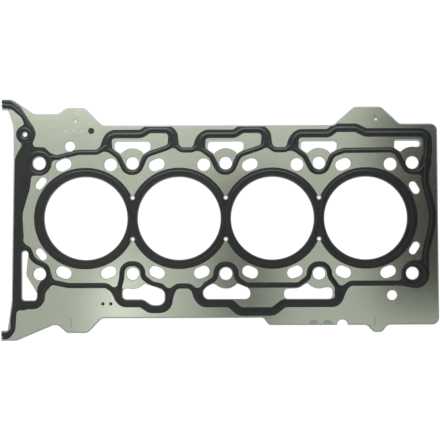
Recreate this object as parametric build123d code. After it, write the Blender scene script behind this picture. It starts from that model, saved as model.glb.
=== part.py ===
from build123d import *
import os
from math import cos, radians, sin

# Cylinder head gasket of a four-cylinder engine, a multi-layer steel gasket.
#
# A wide carrier sheet holds a stopper ring in each bore. A thinner bead sheet lies on it, set in
# from the carrier's edges, and both outer faces carry printed black elastomer seals. Four tongues
# lanced out of the carrier pass through slots of the bead sheet and are folded over it.
#
# Frame: millimetres, origin in the middle of the head bolt pattern on the underside, +X along the
# row of cylinders, +Y across them, +Z up towards the cylinder head.

# ---- Cylinders and head bolts ----
BORE_DIAMETER = 85.4  # clear opening of each cylinder
BORE_WEB = 10.6  # left between neighbouring bores
BOLT_SETBACK = 14.3  # line of bolt centres beyond the bore's edge
BOLT_HOLE = 13.0

# ---- Thicknesses, from the underside up ----
PRINT = 0.10  # elastomer film on either face
CARRIER = 0.80
BEAD_SHEET = 0.25
SEAL_LINE = 0.15  # height of the bores' sealing line on its film

# ---- Stopper rings, welded into the carrier's bores ----
RING_WIDTH = 2.6
RING_FIT = 0.05
RING_SHOWN = 0.9  # rim of the ring left uncovered by the bead sheet

# ---- How the layers step back from each other ----
SHEET_INSET = 1.2  # bead sheet inside the carrier's outline
HOLE_STEP = 0.5  # bead sheet's holes, wider all round than the carrier's
WINDOW_LIFT = 1.3  # bead sheet's +Y windows also reach this much further outward
PRINT_INSET = 0.35  # film kept off the bead sheet's edges

# ---- Coolant and oil passages ----
PASSAGE_SETBACK = 17.3  # their centres beyond the bore's edge
PASSAGE_ANGLE = 22.6  # either side of straight across the engine
SLOT_LENGTH = 16.6
SLOT_WIDTH = 11.6
ROUND_PASSAGE = 13.4
END_SLOT_LENGTH = 14.0
END_SLOT_WIDTH = 7.8
END_SLOT_SETBACK = 16.3
FRONT_SLOT_ANGLE = 38.3  # from the row of cylinders, at the -X end
REAR_SLOT_ANGLE = 31.8  # the same at the +X end
VENT_HOLE = 3.6
VENT_Y = 21.4
DRAIN_HOLE = 10.6
HORN_HOLE = 4.4
PASSAGE_SIDES = 16  # passages are drawn with this many short sides to the turn, not as arcs
SMALL_SIDES = 12  # the same for holes under 5 mm

# ---- Printed seals ----
BORE_SEAL_WIDTH = 9.3  # from the bore's edge
END_WIDENING = 1.2  # the seal's extra width at the two ends of the row
TRACK = 5.2  # narrow tracks
WIDE_TRACK = 8.6
U_TURN = 9.8  # half width of a track's loop about a bolt
LINE_WIDTH = 1.6  # the bores' raised sealing line
LINE_SETBACK = 3.8  # its middle, inside the bore seal's outer edge

# ---- Window edges next to the bolts ----
BOLT_LAND = 15.4  # radius of metal kept about a bolt
END_LAND = 16.4  # the same at the +Y bolt of the plain end

# ---- Edge notches and code holes ----
NOTCH_RADIUS = 5.6  # round notch through both sheets
SHEET_NOTCH_RADIUS = 5.3  # notches of the bead sheet alone
NOTCH_Y = 53.0  # their centres, outward from the bolt row
CODE_HOLES = (4.6, 3.8, 3.8)  # diameters, row of holes in the bead sheet
CODE_PITCH = 8.4
CODE_Y = 33.4

# ---- Clinch tongues ----
TONGUE_SHEET = 0.35  # coined thinner than the carrier
TONGUE_REACH = 3.4  # folded over the bead sheet
SHORT_TONGUE = 4.6
LONG_TONGUE = 7.8
TONGUE_CORNER = 1.4
TONGUE_GAP = 0.3

# ---- Derived places ----
BORE_RADIUS = BORE_DIAMETER / 2
PITCH = BORE_DIAMETER + BORE_WEB
ROW_Y = BORE_RADIUS + BOLT_SETBACK
BORE_X = [(place - 1.5) * PITCH for place in range(4)]
BOLT_X = [(place - 2) * PITCH for place in range(5)]
CARRIER_Z = PRINT
SHEET_Z = CARRIER_Z + CARRIER
FILM_Z = SHEET_Z + BEAD_SHEET
LINE_Z = FILM_Z + PRINT
TONGUE_BLANK = TONGUE_REACH + BEAD_SHEET + TONGUE_SHEET
TOP = 1  # the +Y bolt row
BOTTOM = -1  # the -Y bolt row


def at(column, row, dx, dy):
    """Plan point dx right of a bolt column and dy outward from a bolt row."""
    return (BOLT_X[column] + dx, row * (ROW_Y + dy))


def outline(corners, rounded=True):
    """Closed face through (column, row, dx, dy, corner radius) corners, or with sharp corners."""
    points = [at(*corner[:4]) for corner in corners]
    radii = [corner[4] * rounded for corner in corners]
    return make_face(FilletPolyline(*points, radius=radii, close=True))


def band(corners, width, rounded=True):
    """Face of even width along (column, row, dx, dy, corner radius) corners, with round ends."""
    points = [Vector(*at(*corner[:4])) for corner in corners]
    legs = [(end - start).normalized() for start, end in zip(points, points[1:])]
    rim, radii = [], []
    for side in (1, -1):
        shift = side * width / 2
        edge, bends = [], []
        for place, (point, corner) in enumerate(zip(points, corners)):
            before = legs[max(place - 1, 0)]
            after = legs[min(place, len(legs) - 1)]
            across = (before + after).rotate(Axis.Z, 90) / (1 + before.dot(after))
            turn = before.cross(after).Z
            edge.append(point + across * shift)
            bends.append(max(corner[4] - (shift if turn > 0 else -shift), 0) * rounded)
        bends[0] = bends[-1] = 0
        rim += edge[::side]
        radii += bends[::side]
    ends = [disc((point.X, point.Y), width / 2) for point in (points[0], points[-1])]
    return make_face(FilletPolyline(*rim, radius=radii, close=True)) + ends


def disc(point, radius):
    """Round face about a plan point."""
    return Pos(*point) * Circle(radius)


def faceted_hole(point, diameter, step, sides):
    """Round hole drawn with short straight sides, widened by step all round."""
    return Pos(*point) * RegularPolygon(diameter / 2 + step, sides)


def slot(length, width, step):
    """Slot with faceted round ends, widened by step all round."""
    reach = (length - width) / 2
    ends = [faceted_hole((side * reach, 0), width, step, PASSAGE_SIDES) for side in (-1, 1)]
    return Rectangle(2 * reach, width + 2 * step) + ends


def slab(faces, bottom, thickness):
    """Solid of even thickness on a flat face."""
    return Pos(0, 0, bottom) * extrude(faces, amount=thickness)


# ---- Openings through every layer ----


def passages(step):
    """Bolt holes, coolant and oil passages, each widened by step all round."""
    holes = []
    for column in range(5):
        for row in (TOP, BOTTOM):
            holes.append(disc(at(column, row, 0, 0), BOLT_HOLE / 2 + step))
    for column in (1, 2, 3):
        for side in (TOP, BOTTOM):
            holes.append(faceted_hole((BOLT_X[column], side * VENT_Y), VENT_HOLE, step, SMALL_SIDES))
    bore_slot = slot(SLOT_LENGTH, SLOT_WIDTH, step)
    reach = BORE_RADIUS + PASSAGE_SETBACK
    for x in BORE_X:
        for turn in (180 - PASSAGE_ANGLE, 180 + PASSAGE_ANGLE, PASSAGE_ANGLE):
            holes.append(Pos(x, 0) * Rot(0, 0, turn) * Pos(0, reach) * bore_slot)
        round_x = x + (reach + 1.0) * sin(radians(PASSAGE_ANGLE + 2))
        round_y = (reach + 1.0) * cos(radians(PASSAGE_ANGLE + 2))
        holes.append(faceted_hole((round_x, round_y), ROUND_PASSAGE, step, PASSAGE_SIDES))
    end_slot = slot(END_SLOT_LENGTH, END_SLOT_WIDTH, step)
    end_reach = BORE_RADIUS + END_SLOT_SETBACK
    for x, end, angle in ((BORE_X[0], 1, FRONT_SLOT_ANGLE), (BORE_X[-1], -1, REAR_SLOT_ANGLE)):
        for turn in (90 - angle, 90 + angle):
            holes.append(Pos(x, 0) * Rot(0, 0, end * turn) * Pos(0, end_reach) * end_slot)
    for drain in (at(0, TOP, 31.6, 17.5), at(4, BOTTOM, -20.9, 22.6)):
        holes.append(faceted_hole(drain, DRAIN_HOLE, step, PASSAGE_SIDES))
    holes.append(faceted_hole(at(0, TOP, -14.6, 29.8), HORN_HOLE, step, SMALL_SIDES))
    return holes


def top_windows(lift):
    """Oil return windows along the +Y side, before the bolts' lands are kept."""
    shapes = []
    for column in (1, 2, 3):
        shapes.append(
            outline(
                [
                    (column, TOP, -18.9 - lift / 2, 22.2 + lift, 2),
                    (column, TOP, 18.9 + lift / 2, 22.2 + lift, 2),
                    (column, TOP, 12.0, 9.0, 1),
                    (column, TOP, -12.0, 9.0, 1),
                ]
            )
        )
    shapes.append(
        outline(
            [
                (4, TOP, -18.4, 22.5 + lift, 2),
                (4, TOP, 7.9 + lift, 22.5 + lift, 3.1),
                (4, TOP, 7.9 + lift, 16.1, 3.1),
                (4, TOP, 0.0, 16.1, 0),
                (4, TOP, -11.2, 10.5, 0),
                (4, TOP, -18.4, 15.2, 1.5),
            ]
        )
    )
    return shapes


def bottom_windows():
    """Oil return windows along the -Y side and the chain window at the timing end."""
    shapes = []
    shapes.append(
        outline(
            [
                (1, BOTTOM, -10.4, 26.3, 4),
                (1, BOTTOM, -10.4, 15.1, 3.5),
                (1, BOTTOM, 6.0, 14.2, 0),
                (1, BOTTOM, 12.2, 9.8, 2),
                (1, BOTTOM, 32.8, 17.0, 7),
                (1, BOTTOM, 32.8, 32.3, 7),
                (1, BOTTOM, 19.5, 32.3, 8),
                (1, BOTTOM, 10.8, 26.3, 8),
            ]
        )
    )
    shapes.append(
        outline(
            [
                (2, BOTTOM, -23.4, 26.2, 6),
                (2, BOTTOM, -23.4, 15.6, 4.5),
                (2, BOTTOM, -13.6, 10.2, 3),
                (2, BOTTOM, 0.0, 14.6, 0),
                (2, BOTTOM, 11.8, 10.2, 3),
                (2, BOTTOM, 24.9, 15.6, 6),
                (2, BOTTOM, 24.9, 26.2, 5),
            ]
        )
    )
    shapes.append(
        outline(
            [
                (3, BOTTOM, -36.2, 26.2, 4),
                (3, BOTTOM, -36.2, 15.8, 4),
                (3, BOTTOM, -21.0, 15.0, 8),
                (3, BOTTOM, -12.6, 9.6, 3),
                (3, BOTTOM, 0.0, 14.8, 0),
                (3, BOTTOM, 13.9, 13.8, 4),
                (3, BOTTOM, 13.9, 26.2, 4),
            ]
        )
    )
    shapes.append(
        outline(
            [
                (0, BOTTOM, -18.0, -23.8, 3),
                (0, BOTTOM, -11.2, -23.8, 3),
                (0, BOTTOM, -13.8, 1.0, 10),
                (0, BOTTOM, -2.6, 19.5, 3),
                (0, BOTTOM, -3.2, 27.2, 3),
                (0, BOTTOM, -18.0, 27.2, 3),
            ]
        )
    )
    return shapes


def windows(lift=0):
    """All windows, with a land of metal kept about each bolt and the +Y ones reaching out by lift."""
    lands = [disc(at(column, row, 0, 0), BOLT_LAND) for column in (1, 2, 3) for row in (TOP, BOTTOM)]
    lands.append(disc(at(4, TOP, 0, 0), END_LAND))
    return [shape - lands for shape in top_windows(lift) + bottom_windows()]


def sheet_windows(step):
    """The bead sheet's windows, a step wider all round."""
    return [offset(shape, amount=step, kind=Kind.ARC) for shape in windows(WINDOW_LIFT)]


# ---- Sheets ----


def carrier_outline():
    """Plan outline of the carrier, with its four ears and the timing end's flange."""
    return outline(
        [
            (0, TOP, -38.5, 55.0, 0.5),
            (0, TOP, -38.5, 65.8, 0.8),
            (0, TOP, -27.0, 65.8, 9),
            (0, TOP, -5.0, 50.7, 6),
            (0, TOP, 19.5, 50.7, 6),
            (0, TOP, 28.5, 57.2, 5),
            (1, TOP, -49.0, 57.2, 7),
            (1, TOP, -31.0, 38.8, 7),
            (3, TOP, 15.0, 38.8, 7),
            (3, TOP, 36.0, 57.6, 6),
            (4, TOP, -32.0, 57.6, 6),
            (4, TOP, -13.0, 40.0, 6),
            (4, TOP, 25.7, 40.0, 7),
            (4, BOTTOM, 27.4, 52.8, 7),
            (4, BOTTOM, -25.5, 52.8, 5),
            (4, BOTTOM, -31.5, 60.4, 5),
            (4, BOTTOM, -40.0, 60.4, 5),
            (4, BOTTOM, -47.0, 53.0, 5),
            (2, BOTTOM, 44.0, 53.0, 4),
            (2, BOTTOM, 38.5, 45.5, 4),
            (1, BOTTOM, -32.0, 45.5, 6),
            (1, BOTTOM, -46.5, 60.7, 8),
            (0, BOTTOM, 28.0, 60.7, 5),
            (0, BOTTOM, 17.5, 51.0, 8),
            (0, BOTTOM, -24.0, 68.5, 7),
            (0, BOTTOM, -39.5, 68.5, 0.5),
            (0, BOTTOM, -39.5, 58.4, 0.5),
            (0, BOTTOM, -33.0, 58.4, 2),
            (0, BOTTOM, -28.6, 28.0, 40),
            (0, TOP, -26.4, 0.0, 0),
            (0, TOP, -26.4, 38.0, 30),
            (0, TOP, -32.0, 55.0, 3),
        ]
    )


CARRIER_OUTLINE = carrier_outline()
SHEET_OUTLINE = offset(CARRIER_OUTLINE, amount=-SHEET_INSET)


def bores(radius):
    """A round face of one radius at each cylinder."""
    return [disc((x, 0), radius) for x in BORE_X]


def clinches():
    """(plan point, way the tongue is folded along X, its length along Y) of the four tongues."""
    return [
        (at(0, TOP, 36.3, 47.8), 1, SHORT_TONGUE),
        (at(4, TOP, -38.1, 47.6), 1, SHORT_TONGUE),
        (at(0, BOTTOM, 32.2, 50.5), -1, LONG_TONGUE),
        (at(4, BOTTOM, -38.6, 50.0), 1, LONG_TONGUE),
    ]


def carrier_face():
    """Plan of the carrier: its outline less the ring seats, windows and passages."""
    notch = disc(at(3, BOTTOM, 23.8, NOTCH_Y), NOTCH_RADIUS)
    blanks = []
    for point, way, length in clinches():
        middle = -way * (TONGUE_SHEET + TONGUE_BLANK) / 2
        blanks.append(Pos(*point) * Pos(middle, 0) * Rectangle(TONGUE_BLANK, length + 2 * TONGUE_GAP))
    openings = bores(BORE_RADIUS + RING_WIDTH) + windows() + passages(0) + blanks
    return CARRIER_OUTLINE - openings - notch


def sheet_face():
    """Plan of the bead sheet: set in from the carrier, its holes a step wider."""
    notches = [disc(at(3, BOTTOM, dx, NOTCH_Y), SHEET_NOTCH_RADIUS) for dx in (-5.7, 8.7)]
    notches.append(disc(at(3, BOTTOM, 23.8, NOTCH_Y), NOTCH_RADIUS + HOLE_STEP))
    marks = []
    for place, diameter in enumerate(CODE_HOLES):
        marks.append(faceted_hole(at(0, TOP, 26.7 + place * CODE_PITCH, CODE_Y), diameter, 0, SMALL_SIDES))
    for point, way, length in clinches():
        marks.append(Pos(*point) * Rectangle(TONGUE_SHEET + 2 * TONGUE_GAP, length + 2 * TONGUE_GAP))
    openings = bores(BORE_RADIUS + RING_SHOWN) + sheet_windows(HOLE_STEP) + passages(HOLE_STEP)
    return SHEET_OUTLINE - openings - notches - marks


def tongue(point, way, length):
    """Tongue that rises out of the carrier at the edge of its blank and lies on the bead sheet."""
    riser = Box(TONGUE_SHEET, length, FILM_Z - CARRIER_Z, align=(Align.CENTER, Align.CENTER, Align.MIN))
    reach = TONGUE_REACH + TONGUE_SHEET
    fold = Pos(way * (reach - TONGUE_SHEET) / 2, 0) * RectangleRounded(reach, length, TONGUE_CORNER)
    heel = Rectangle(TONGUE_SHEET, length)
    lying = extrude(fold + heel, amount=TONGUE_SHEET)
    return Pos(*point, CARRIER_Z) * riser + Pos(*point, FILM_Z) * lying


def carrier():
    """The carrier with its folded tongues."""
    sheet = slab(carrier_face(), CARRIER_Z, CARRIER)
    for point, way, length in clinches():
        sheet += tongue(point, way, length)
    return sheet


# ---- Tracks of the passage seal ----


def bolt_loop(column):
    """Narrow track of the +Y row that passes under one bolt."""
    return [
        (column, TOP, -26.4, 16.0, 0),
        (column, TOP, -13.3, 7.6, 9),
        (column, TOP, -U_TURN, -9.7, 9.6),
        (column, TOP, U_TURN, -9.7, 9.6),
        (column, TOP, 13.0, 8.3, 9),
    ]


def top_tracks():
    """(corners, width) of the tracks along the +Y side."""
    tracks = []
    for column in (1, 2):
        tracks.append((bolt_loop(column) + [(column, TOP, 42.3, 18.0, 0)], TRACK))
        tracks.append(
            (
                [
                    (column, TOP, -26.4, 19.5, 0),
                    (column, TOP, -26.4, 29.9, 9),
                    (column, TOP, 9.0, 29.9, 8),
                    (column, TOP, 17.0, 35.0, 8),
                    (column, TOP, 42.3, 35.0, 9),
                    (column, TOP, 42.3, 20.5, 0),
                ],
                WIDE_TRACK,
            )
        )
        tracks.append(
            (
                [
                    (column, TOP, 42.3, 21.0, 0),
                    (column, TOP, 49.5, 13.3, 8),
                    (column + 1, TOP, -33.0, 13.3, 8),
                    (column + 1, TOP, -26.4, 21.0, 0),
                ],
                TRACK,
            )
        )
    tracks.append(
        (
            bolt_loop(3)
            + [
                (3, TOP, 26.0, 12.5, 12),
                (4, TOP, -17.4, 13.0, 10),
                (4, TOP, -5.0, -9.7, 7.5),
                (4, TOP, 8.2, -9.7, 8),
                (4, TOP, 14.0, 0.0, 0),
            ],
            TRACK,
        )
    )
    tracks.append(
        (
            [
                (3, TOP, -26.4, 19.5, 0),
                (3, TOP, -26.4, 30.2, 9),
                (3, TOP, 10.0, 30.2, 8),
                (3, TOP, 17.0, 35.8, 8),
                (3, TOP, 38.0, 35.8, 8),
                (4, TOP, -48.0, 30.9, 8),
                (4, TOP, 16.0, 30.9, 8),
                (4, TOP, 16.0, 10.0, 12),
                (4, TOP, 13.0, -2.0, 0),
            ],
            WIDE_TRACK,
        )
    )
    tracks.append(
        (
            [
                (0, TOP, 8.0, 10.0, 0),
                (0, TOP, 19.0, 5.8, 10),
                (0, TOP, 40.0, 11.2, 20),
                (1, TOP, -36.0, 11.2, 8),
                (1, TOP, -26.4, 18.0, 0),
            ],
            TRACK,
        )
    )
    return tracks


def end_tracks():
    """(corners, width) of the tracks round the +X end."""
    return [
        (
            [
                (4, TOP, 13.4, 0.0, 0),
                (4, TOP, 13.2, -20.0, 14),
                (4, TOP, 20.8, -50.0, 40),
                (4, BOTTOM, 20.4, -50.0, 40),
                (4, BOTTOM, 13.4, -20.0, 14),
                (4, BOTTOM, 13.4, -8.0, 8),
                (4, BOTTOM, 10.0, -4.0, 0),
            ],
            TRACK,
        )
    ]


def bottom_tracks():
    """(corners, width) of the tracks along the -Y side."""
    return [
        (
            [
                (0, BOTTOM, 3.5, 16.0, 0),
                (0, BOTTOM, 8.5, 7.4, 7),
                (0, BOTTOM, 30.0, 11.9, 20),
                (1, BOTTOM, -27.0, 11.9, 8),
                (1, BOTTOM, -14.7, 21.0, 0),
            ],
            TRACK,
        ),
        (
            [
                (1, BOTTOM, -14.7, 18.0, 0),
                (1, BOTTOM, -11.4, 5.0, 8),
                (1, BOTTOM, -10.4, -10.4, 9.6),
                (1, BOTTOM, 10.4, -10.4, 9.6),
                (1, BOTTOM, 10.4, 3.0, 6),
                (1, BOTTOM, 20.0, 10.5, 8),
                (1, BOTTOM, 29.5, 12.4, 6),
                (1, BOTTOM, 36.6, 20.0, 0),
            ],
            TRACK,
        ),
        (
            [
                (1, BOTTOM, -14.7, 21.0, 0),
                (1, BOTTOM, -14.7, 30.1, 8),
                (1, BOTTOM, 9.0, 30.1, 8),
                (1, BOTTOM, 17.5, 36.1, 8),
                (1, BOTTOM, 36.8, 36.1, 9),
                (1, BOTTOM, 36.8, 22.5, 0),
            ],
            WIDE_TRACK,
        ),
        (
            [
                (1, BOTTOM, 36.8, 22.0, 0),
                (2, BOTTOM, -51.0, 12.6, 8),
                (2, BOTTOM, -37.0, 12.6, 8),
                (2, BOTTOM, -28.2, 22.0, 0),
            ],
            TRACK,
        ),
        (
            [
                (2, BOTTOM, -28.2, 20.0, 0),
                (2, BOTTOM, -20.5, 11.0, 10),
                (2, BOTTOM, -10.6, 5.0, 9),
                (2, BOTTOM, -U_TURN, -9.8, 9.6),
                (2, BOTTOM, U_TURN, -9.8, 9.6),
                (2, BOTTOM, 10.6, 4.5, 9),
                (2, BOTTOM, 20.0, 11.9, 9),
                (3, BOTTOM, -21.0, 11.9, 9),
                (3, BOTTOM, -10.4, 3.5, 9),
                (3, BOTTOM, -U_TURN, -9.8, 9.6),
                (3, BOTTOM, U_TURN, -9.8, 9.6),
                (3, BOTTOM, 10.8, 3.0, 9),
                (3, BOTTOM, 21.0, 17.0, 0),
            ],
            TRACK,
        ),
        (
            [
                (2, BOTTOM, -28.2, 22.0, 0),
                (2, BOTTOM, -28.2, 30.2, 8),
                (2, BOTTOM, 4.0, 30.2, 9),
                (2, BOTTOM, 14.0, 39.1, 9),
                (3, BOTTOM, -47.5, 39.1, 9),
                (3, BOTTOM, -36.0, 30.3, 9),
                (3, BOTTOM, 21.0, 30.3, 8),
                (3, BOTTOM, 21.0, 20.0, 0),
            ],
            WIDE_TRACK,
        ),
        (
            [
                (3, BOTTOM, 21.0, 21.0, 0),
                (3, BOTTOM, 31.0, 10.2, 9),
                (4, BOTTOM, -8.0, 10.2, 0),
            ],
            TRACK,
        ),
        (
            [
                (0, BOTTOM, -19.0, -29.5, 0),
                (0, BOTTOM, -11.2, -26.2, 4.5),
                (0, BOTTOM, -6.2, -14.2, 12),
                (0, BOTTOM, 7.6, -7.9, 8),
                (0, BOTTOM, 10.4, 3.5, 6),
                (0, BOTTOM, 6.0, 11.0, 0),
            ],
            TRACK,
        ),
        (
            [
                (0, BOTTOM, 6.6, 9.3, 0),
                (0, BOTTOM, 2.0, 15.5, 8),
                (0, BOTTOM, 0.6, 32.0, 8.5),
                (0, BOTTOM, -20.5, 31.4, 0),
            ],
            WIDE_TRACK,
        ),
    ]


def front_flange(rounded):
    """Broad seal along the timing end, with its two horns."""
    return outline(
        [
            (0, TOP, -38.6, 65.6, 0),
            (0, TOP, -28.5, 65.6, 6),
            (0, TOP, -19.0, 58.5, 8),
            (0, TOP, -6.5, 38.5, 8),
            (0, TOP, -3.6, 30.5, 8),
            (0, TOP, -6.8, 20.5, 2),
            (0, TOP, -5.0, 17.0, 1),
            (0, TOP, 6.5, 17.0, 4),
            (0, TOP, 13.0, 7.0, 4),
            (0, TOP, 12.5, -5.0, 6),
            (0, TOP, 4.0, -12.8, 6),
            (0, TOP, -8.0, -12.8, 2),
            (0, TOP, -9.5, -26.0, 20),
            (0, TOP, -17.4, -52.0, 30),
            (0, BOTTOM, -16.0, -38.0, 14),
            (0, BOTTOM, -18.1, -24.0, 10),
            (0, BOTTOM, -18.1, 27.0, 0),
            (0, BOTTOM, -16.0, 35.8, 0),
            (0, BOTTOM, -21.0, 35.8, 4),
            (0, BOTTOM, -23.6, 39.0, 4),
            (0, BOTTOM, -25.0, 58.5, 8),
            (0, BOTTOM, -31.5, 67.0, 8),
            (0, BOTTOM, -39.6, 67.2, 0),
            (0, BOTTOM, -39.6, 57.0, 0),
            (0, BOTTOM, -30.0, 57.0, 0),
            (0, BOTTOM, -30.0, 20.0, 0),
            (0, TOP, -30.0, -10.0, 0),
            (0, TOP, -26.8, -2.0, 0),
            (0, TOP, -23.5, 8.5, 8),
            (0, TOP, -16.6, 20.5, 2),
            (0, TOP, -24.0, 30.0, 7.5),
            (0, TOP, -14.5, 39.0, 3),
            (0, TOP, -18.0, 47.0, 8),
            (0, TOP, -28.0, 57.0, 6),
            (0, TOP, -38.6, 57.0, 0),
        ],
        rounded,
    )


def passage_seal_face(rounded=True):
    """Plan of the passage seal, kept inside the bead sheet's edges."""
    region = front_flange(rounded)
    region += disc(at(0, TOP, -14.6, 29.8), 8.4)
    region += disc(at(4, BOTTOM, 3.0, 1.0), 14.5)
    for corners, width in top_tracks() + end_tracks() + bottom_tracks():
        region += band(corners, width, rounded)
    step = HOLE_STEP + PRINT_INSET
    return region & (SHEET_OUTLINE - sheet_windows(step) - passages(step))


def joined_bores(radius):
    """One face round all cylinders, a little longer at the ends of the row."""
    ends = [disc((BORE_X[0] - END_WIDENING, 0), radius), disc((BORE_X[-1] + END_WIDENING, 0), radius)]
    return Sketch() + bores(radius) + ends


def bore_seal_face():
    """Plan of the bore seal: a joined band round all cylinders."""
    region = joined_bores(BORE_RADIUS + BORE_SEAL_WIDTH) - bores(BORE_RADIUS + RING_SHOWN + PRINT_INSET)
    return region - passages(HOLE_STEP + PRINT_INSET)


def bore_line_face():
    """Plan of the raised sealing line that follows the bore seal's outer edge."""
    middle = BORE_RADIUS + BORE_SEAL_WIDTH - LINE_SETBACK
    return joined_bores(middle + LINE_WIDTH / 2) - joined_bores(middle - LINE_WIDTH / 2)


BORE_SEAL = bore_seal_face()

nodes = {
    "carrier_layer": carrier(),
    "upper_bead_layer": slab(sheet_face(), SHEET_Z, BEAD_SHEET),
    "upper_passage_seal": slab(passage_seal_face(), FILM_Z, PRINT),
    "upper_bore_seal": slab(BORE_SEAL, FILM_Z, PRINT) + slab(bore_line_face(), LINE_Z, SEAL_LINE),
    "lower_passage_seal": slab(passage_seal_face(rounded=False), 0, PRINT),
    "lower_bore_seal": slab(BORE_SEAL, 0, PRINT),
}
for number, x in enumerate(BORE_X, start=1):
    ring = Circle(BORE_RADIUS + RING_WIDTH - RING_FIT) - Circle(BORE_RADIUS)
    nodes[f"bore_stopper_ring_{number}"] = slab(Pos(x, 0) * ring, CARRIER_Z, CARRIER)

os.makedirs("parts", exist_ok=True)
for name, shape in nodes.items():
    shape.label = name
    export_step(shape, f"parts/{name}.step")
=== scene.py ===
"""Dressed model of a four-cylinder head gasket: its sheets, printed seals, finishes, studio and camera.

Lengths in the tables of routes and sizes are millimetres, as on the maker's drawing, and meshes are
built in metres. The origin is the middle of the head bolt pattern on the underside, +X runs along
the row of cylinders, +Y across them and +Z up towards the cylinder head.
"""

import logging
import math
from dataclasses import dataclass, field
from enum import Enum

import bmesh
import bpy
import numpy as np
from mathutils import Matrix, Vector


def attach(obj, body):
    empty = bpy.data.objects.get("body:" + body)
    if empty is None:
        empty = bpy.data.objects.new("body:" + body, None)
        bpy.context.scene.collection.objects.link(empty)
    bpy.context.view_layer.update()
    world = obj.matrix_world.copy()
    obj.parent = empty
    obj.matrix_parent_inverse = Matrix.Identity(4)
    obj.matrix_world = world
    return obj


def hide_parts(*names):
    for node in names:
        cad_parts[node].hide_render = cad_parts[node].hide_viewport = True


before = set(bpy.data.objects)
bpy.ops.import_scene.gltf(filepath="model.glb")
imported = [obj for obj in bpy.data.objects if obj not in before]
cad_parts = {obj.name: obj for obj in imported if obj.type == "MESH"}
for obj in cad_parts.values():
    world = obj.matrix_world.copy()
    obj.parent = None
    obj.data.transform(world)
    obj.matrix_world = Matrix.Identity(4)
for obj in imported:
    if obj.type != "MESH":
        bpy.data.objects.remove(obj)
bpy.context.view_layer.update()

LOG = logging.getLogger("head_gasket")
BODY = "root"
MM = 0.001

CYLINDERS = 4
MIDDLE_COLUMN = 2  # bolt column at the origin
BORE_PITCH = 96.0
BOLT_ROW = 57.0  # from the middle to either row of bolts
SHEET_TOP = 1.15  # height of the bead sheet's upper face
PRINT_TOP = 1.25  # height of the print's upper face
TOP = 1  # the +Y row of bolts
BOTTOM = -1  # the -Y row of bolts
WIDE = 8.8  # width of the arches' printed track
END_WIDTH = 7.6  # width of the plain end's printed track
FLAT_FACE = 0.9  # upward share of a normal that still counts as an upper face
FACE_SLACK = 0.02  # how far the bead sheet's upper face may lie low
FACE_REACH = 3.0  # how far from the bead sheet's edges its distances are worked out
TINY = 1e-6  # keeps a divisor from being nothing
WELD = 1e-7  # metres between two points that are one
MATT = 0.9  # roughness of what stands round the part

Material = bpy.types.Material
Mesh = bpy.types.Mesh
Node = bpy.types.Node
Object = bpy.types.Object
Socket = bpy.types.NodeSocket

Corner = tuple[int, int, float, float, float]
Colour = tuple[float, float, float]
Point = tuple[float, float, float]
Place = tuple[float, float]
Loop = list[Place]
Run = tuple[Vector, Vector]
GridEdge = tuple[int, int, int]
LineRow = tuple[Vector, Vector, float]
Materials = dict[str, Material]


class Slot(Enum):
    """Material slots of the part's record."""

    CARRIER = "carrier"
    BEAD_SHEET = "bead_sheet"
    SEAL_PRINT = "seal_print"


class Side(Enum):
    """Side of a track that its sealing line leans to, seen along the track."""

    LEFT = 1
    MIDDLE = 0
    RIGHT = -1


def plan(column: int, row: int, dx: float, dy: float) -> Vector:
    """Plan point in millimetres, dx right of a bolt column (0 to 4) and dy outward from its row."""
    return Vector(((column - MIDDLE_COLUMN) * BORE_PITCH + dx, row * (BOLT_ROW + dy)))


def bore_centre(number: int) -> Vector:
    """Plan centre of a cylinder, counted from 0, in millimetres."""
    return Vector(((number - (CYLINDERS - 1) / 2) * BORE_PITCH, 0.0))


def linked(name: str, data: bpy.types.ID) -> Object:
    """Make an object and link it into the scene.

    Args:
        name: its name.
        data: its mesh, curve, light or camera.

    Returns:
        The object.
    """
    made = bpy.data.objects.new(name, data)
    bpy.context.scene.collection.objects.link(made)
    return made


# ---------------------------------------------------------------------------------- materials


@dataclass(frozen=True)
class Noise:
    """Noise over the part: stretch along X, Y and Z, cells per metre and octaves."""

    stretch: Point
    scale: float
    detail: float


STREAKS = Noise((1.0, 14.0, 1.0), 60.0, 4.0)
PATCHES = Noise((1.0, 1.0, 1.0), 9.0, 2.0)
WAVES = Noise((0.6, 1.0, 1.0), 7.0, 1.0)
GRAIN = Noise((1.0, 9.0, 1.0), 900.0, 2.0)
MOTTLE = Noise((1.0, 1.0, 1.0), 120.0, 4.0)
PEEL = Noise((1.0, 1.0, 1.0), 1400.0, 2.0)


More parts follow.
